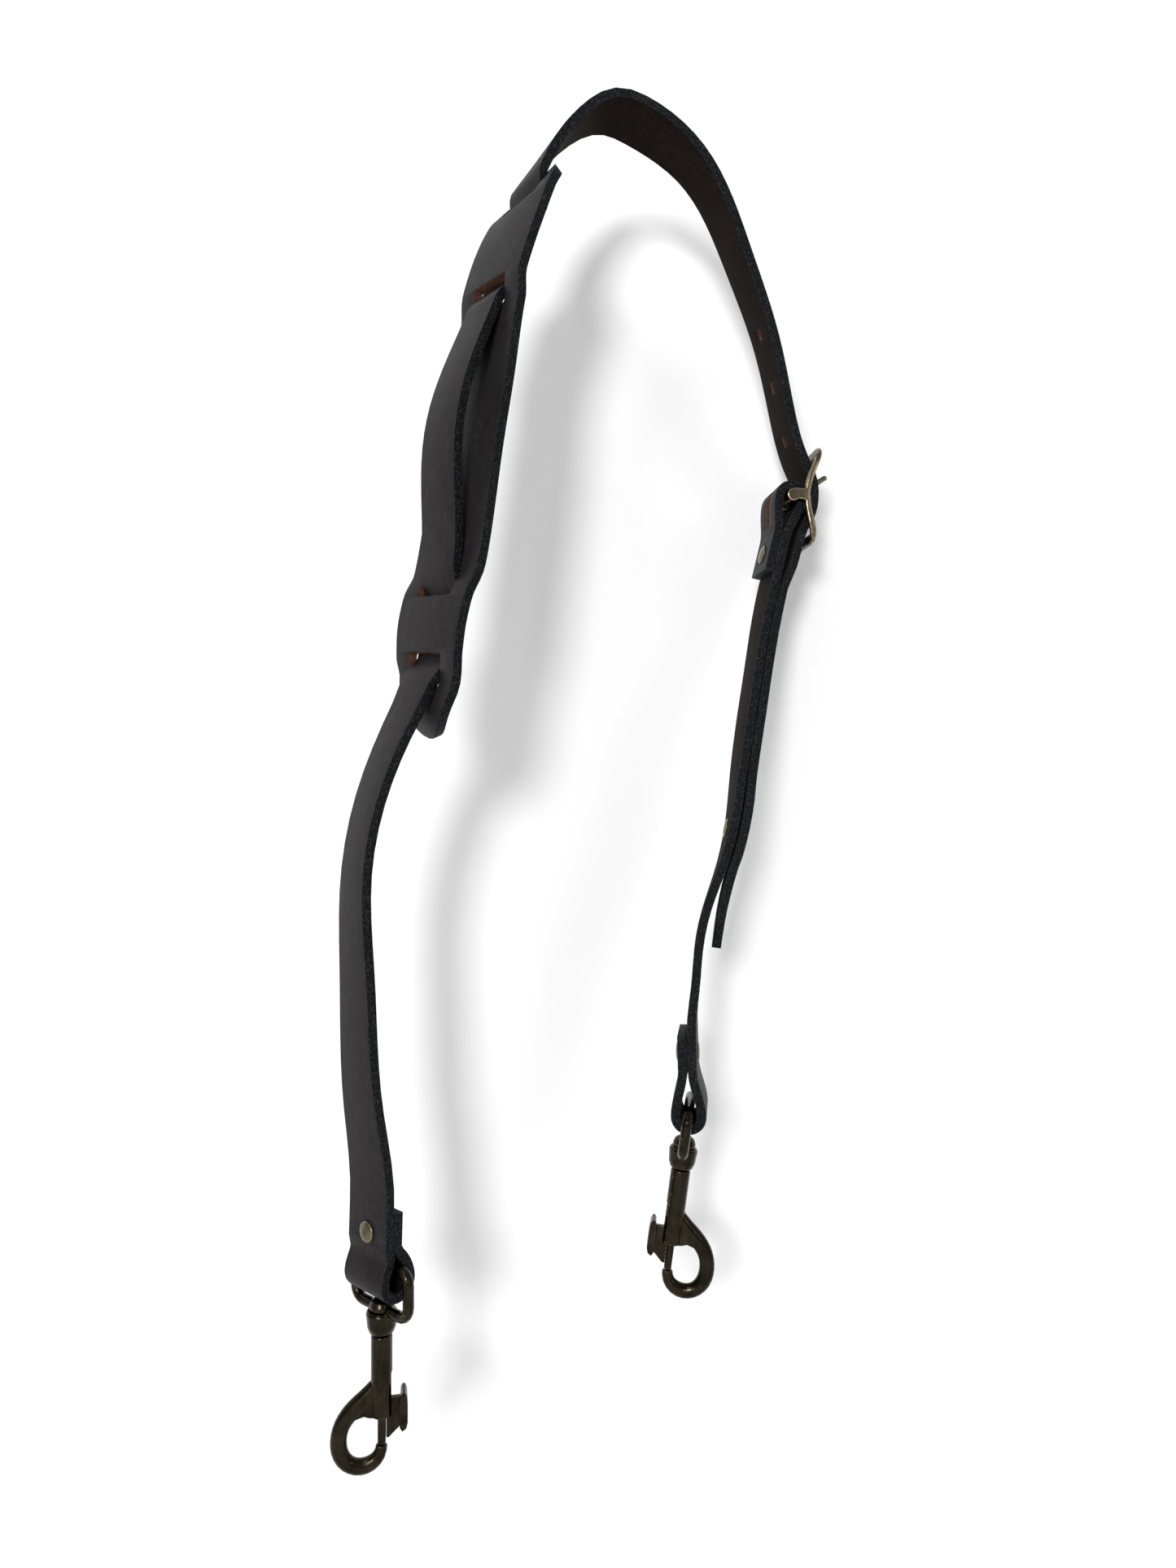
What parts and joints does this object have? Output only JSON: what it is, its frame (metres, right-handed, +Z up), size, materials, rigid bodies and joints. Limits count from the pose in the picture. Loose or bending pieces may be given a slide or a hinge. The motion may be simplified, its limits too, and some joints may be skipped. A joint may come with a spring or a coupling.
{
  "type": "leather instrument strap",
  "caption": "Leather shoulder strap for an instrument, with a sliding shoulder pad woven on it, a centre-bar buckle for its length, and a swivel snap hook on each end.",
  "frame": {"origin": "underside of the strap at the top of its arch, where it rests on the shoulder", "axes": "+Z up, +X from the pad side to the buckle side, -Y towards a viewer who faces the strap"},
  "size_m": [0.1781, 0.0894, 0.4708],
  "materials": {
    "leather": "oiled, worn",
    "hook_brass": "dark antique",
    "buckle_brass": "antique, rubbed bright",
    "spring_steel": "plain"
  },
  "bodies": {
    "strap": {"main_strap": "leather", "shoulder_pad": "leather", "left_fold_rivet_cap": "buckle_brass", "left_fold_rivet_base": "buckle_brass"},
    "buckle": {"buckle_frame": "buckle_brass"},
    "prong": {"buckle_prong": "buckle_brass"},
    "hook_strap": {"hook_strap": "leather", "buckle_fold_rivet_cap": "buckle_brass", "buckle_fold_rivet_base": "buckle_brass", "hook_strap_rivet_cap": "buckle_brass", "hook_strap_rivet_base": "buckle_brass", "right_fold_rivet_cap": "buckle_brass", "right_fold_rivet_base": "buckle_brass"},
    "left_eye": {"left_eye": "hook_brass"},
    "left_hook": {"left_swivel_post": "hook_brass", "left_hook_body": "hook_brass", "left_spring": "spring_steel"},
    "left_bolt": {"left_bolt": "hook_brass", "left_thumb_tab": "hook_brass"},
    "right_eye": {"right_eye": "hook_brass"},
    "right_hook": {"right_swivel_post": "hook_brass", "right_hook_body": "hook_brass", "right_spring": "spring_steel"},
    "right_bolt": {"right_bolt": "hook_brass", "right_thumb_tab": "hook_brass"}
  },
  "joints": [
    {"name": "buckle_rock", "type": "hinge", "parent": "strap", "child": "buckle", "pos_m": [0.068, 0.032, -0.1294], "axis": [0.104, -0.9945, -0.0073], "range_deg": [0, 3]},
    {"name": "prong_hinge", "type": "hinge", "parent": "buckle", "child": "prong", "pos_m": [0.068, 0.032, -0.1294], "axis": [0.104, -0.9945, -0.0073], "range_deg": [-5, 5]},
    {"name": "hook_strap_hinge", "type": "hinge", "parent": "strap", "child": "hook_strap", "pos_m": [0.068, 0.032, -0.1294], "axis": [0.104, -0.9945, -0.0073], "range_deg": [-25, 0]},
    {"name": "left_eye_hinge", "type": "hinge", "parent": "strap", "child": "left_eye", "pos_m": [-0.0764, -0.0265, -0.3968], "axis": [0.766, -0.6428, 0], "range_deg": [-30, 30]},
    {"name": "left_swivel", "type": "hinge", "parent": "left_eye", "child": "left_hook", "pos_m": [-0.0764, -0.0265, -0.3968], "axis": [0, 0, 1], "continuous": true},
    {"name": "left_bolt_slide", "type": "slide", "parent": "left_hook", "child": "left_bolt", "axis": [0, 0, 1], "range_m": [0, 0.008], "stiffness_N_per_m": 250, "springref_m": -0.006, "deforming": ["left_spring"]},
    {"name": "right_eye_hinge", "type": "hinge", "parent": "hook_strap", "child": "right_eye", "pos_m": [0.0288, 0.005, -0.3542], "axis": [-0.1367, -0.9904, 0.0185], "range_deg": [-30, 30]},
    {"name": "right_swivel", "type": "hinge", "parent": "right_eye", "child": "right_hook", "pos_m": [0.0288, 0.005, -0.3542], "axis": [0.134, 0, 0.991], "continuous": true},
    {"name": "right_bolt_slide", "type": "slide", "parent": "right_hook", "child": "right_bolt", "axis": [0.134, 0, 0.991], "range_m": [0, 0.008], "stiffness_N_per_m": 250, "springref_m": -0.006, "deforming": ["right_spring"]}
  ]
}
